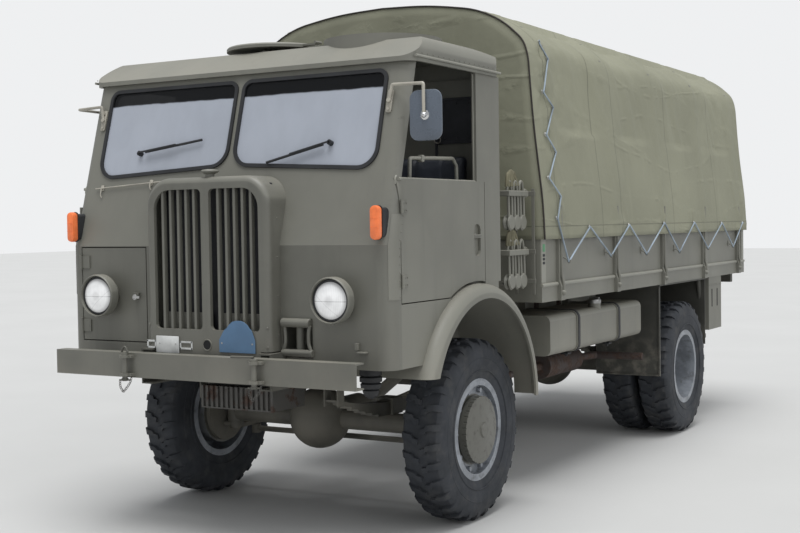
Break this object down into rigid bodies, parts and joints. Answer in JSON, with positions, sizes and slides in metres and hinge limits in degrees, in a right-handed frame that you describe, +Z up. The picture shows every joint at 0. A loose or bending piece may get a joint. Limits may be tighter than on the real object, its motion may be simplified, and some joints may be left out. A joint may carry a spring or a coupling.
{
  "type": "military cargo truck",
  "caption": "Four-wheel-drive military cargo truck with the cab over the engine, a round-shouldered radiator housing, twin rear wheels and a laced cloth cover over the load bed.",
  "frame": {"origin": "on the ground under the middle of the truck's length and width", "axes": "+X to the truck's left side, the front faces -Y, +Z up"},
  "size_m": [2.502, 6.5998, 3.072],
  "materials": {
    "amber": "gloss",
    "black_plastic": "matte",
    "body_paint": "satin",
    "cast": "rough",
    "chassis_paint": "satin",
    "cloth": "matte",
    "deck_wood": "worn",
    "glass": "clear",
    "rubber": "matte",
    "rust": "rough",
    "seat_cloth": "satin",
    "tyre": "matte",
    "wheel_paint": "satin"
  },
  "bodies": {
    "chassis": {"frame": "chassis_paint", "front_axle": "chassis_paint", "rear_axle": "chassis_paint", "leaf_springs": "chassis_paint", "bumper": "body_paint", "engine_block": "cast", "drivetrain": "chassis_paint", "cab_front": "body_paint", "cab_sides": "body_paint", "cab_rear": "body_paint", "cab_roof": "body_paint", "cab_floor": "body_paint", "fenders": "body_paint", "seats": "seat_cloth", "dashboard": "black_plastic", "steering_column": "black_plastic", "grille_housing": "body_paint", "windscreen_seals": "rubber", "windscreen_glass": "glass", "headlight_left": "body_paint", "turn_signals": "amber", "mirrors": "body_paint", "wipers": "black_plastic", "drain_bellows": "rubber", "front_step": "body_paint", "bed_frame": "body_paint", "bed_floor": "deck_wood", "bed_boards": "body_paint", "board_posts": "body_paint", "cover_bows": "body_paint", "cover": "cloth", "fuel_tank": "body_paint", "exhaust": "rust", "rear_guards": "body_paint", "rear_lamps": "amber", "tool_rack": "body_paint", "rack_bundles": "cloth"},
    "knuckle_left": {"knuckle_left": "chassis_paint"},
    "knuckle_right": {"knuckle_right": "chassis_paint"},
    "wheel_front_left": {"tyre_front_left": "tyre", "rim_front_left": "wheel_paint"},
    "wheel_front_right": {"tyre_front_right": "tyre", "rim_front_right": "wheel_paint"},
    "wheel_rear_left": {"tyres_rear_left": "tyre", "rims_rear_left": "wheel_paint"},
    "wheel_rear_right": {"tyres_rear_right": "tyre", "rims_rear_right": "wheel_paint"},
    "tie_rod": {"tie_rod": "chassis_paint"},
    "door_left": {"door_left": "body_paint"},
    "door_right": {"door_right": "body_paint"},
    "front_hatch": {"front_hatch": "body_paint", "headlight_right": "body_paint"},
    "roof_lid": {"roof_lid": "body_paint"},
    "tailgate": {"tailgate": "body_paint"},
    "steering_wheel": {"steering_wheel": "black_plastic"}
  },
  "joints": [
    {"name": "steer_left", "type": "hinge", "parent": "chassis", "child": "knuckle_left", "pos_m": [0.7, -2, 0.515], "axis": [0, 0, 1], "range_deg": [-30, 30]},
    {"name": "steer_right", "type": "hinge", "parent": "chassis", "child": "knuckle_right", "pos_m": [-0.7, -2, 0.515], "axis": [0, 0, 1], "range_deg": [-30, 30]},
    {"name": "tie_rod_eye", "type": "hinge", "parent": "knuckle_left", "child": "tie_rod", "pos_m": [0.7, -1.79, 0.376], "axis": [0, 0, 1], "range_deg": [-30, 30]},
    {"name": "spin_front_left", "type": "hinge", "parent": "knuckle_left", "child": "wheel_front_left", "pos_m": [0.907, -2, 0.515], "axis": [1, 0, 0], "continuous": true},
    {"name": "spin_front_right", "type": "hinge", "parent": "knuckle_right", "child": "wheel_front_right", "pos_m": [-0.907, -2, 0.515], "axis": [1, 0, 0], "continuous": true},
    {"name": "spin_rear_left", "type": "hinge", "parent": "chassis", "child": "wheel_rear_left", "pos_m": [0.86, 1.445, 0.515], "axis": [1, 0, 0], "continuous": true},
    {"name": "spin_rear_right", "type": "hinge", "parent": "chassis", "child": "wheel_rear_right", "pos_m": [-0.86, 1.445, 0.515], "axis": [1, 0, 0], "continuous": true},
    {"name": "door_left", "type": "hinge", "parent": "chassis", "child": "door_left", "pos_m": [1.075, -2.933, 1.6], "axis": [0, 0, -1], "range_deg": [0, 75]},
    {"name": "door_right", "type": "hinge", "parent": "chassis", "child": "door_right", "pos_m": [-1.075, -2.933, 1.6], "axis": [0, 0, 1], "range_deg": [0, 75]},
    {"name": "front_hatch", "type": "hinge", "parent": "chassis", "child": "front_hatch", "pos_m": [-0.973, -3.05, 1.311], "axis": [0, 0, -1], "range_deg": [0, 95]},
    {"name": "roof_lid", "type": "hinge", "parent": "chassis", "child": "roof_lid", "pos_m": [0.275, -2.35, 2.695], "axis": [0, 1, 0], "range_deg": [0, 180]},
    {"name": "tailgate", "type": "hinge", "parent": "chassis", "child": "tailgate", "pos_m": [0, 3.255, 1.281], "axis": [-1, 0, 0], "range_deg": [0, 140]},
    {"name": "steering_wheel", "type": "hinge", "parent": "chassis", "child": "steering_wheel", "pos_m": [-0.56, -2.56, 1.985], "axis": [0, 0.3746, 0.9272], "range_deg": [-480, 480]}
  ],
  "couplings": [
    {"joint": "steer_right", "follows": "steer_left", "ratio": 1},
    {"joint": "tie_rod_eye", "follows": "steer_left", "ratio": -1},
    {"joint": "steering_wheel", "follows": "steer_left", "ratio": 16}
  ]
}
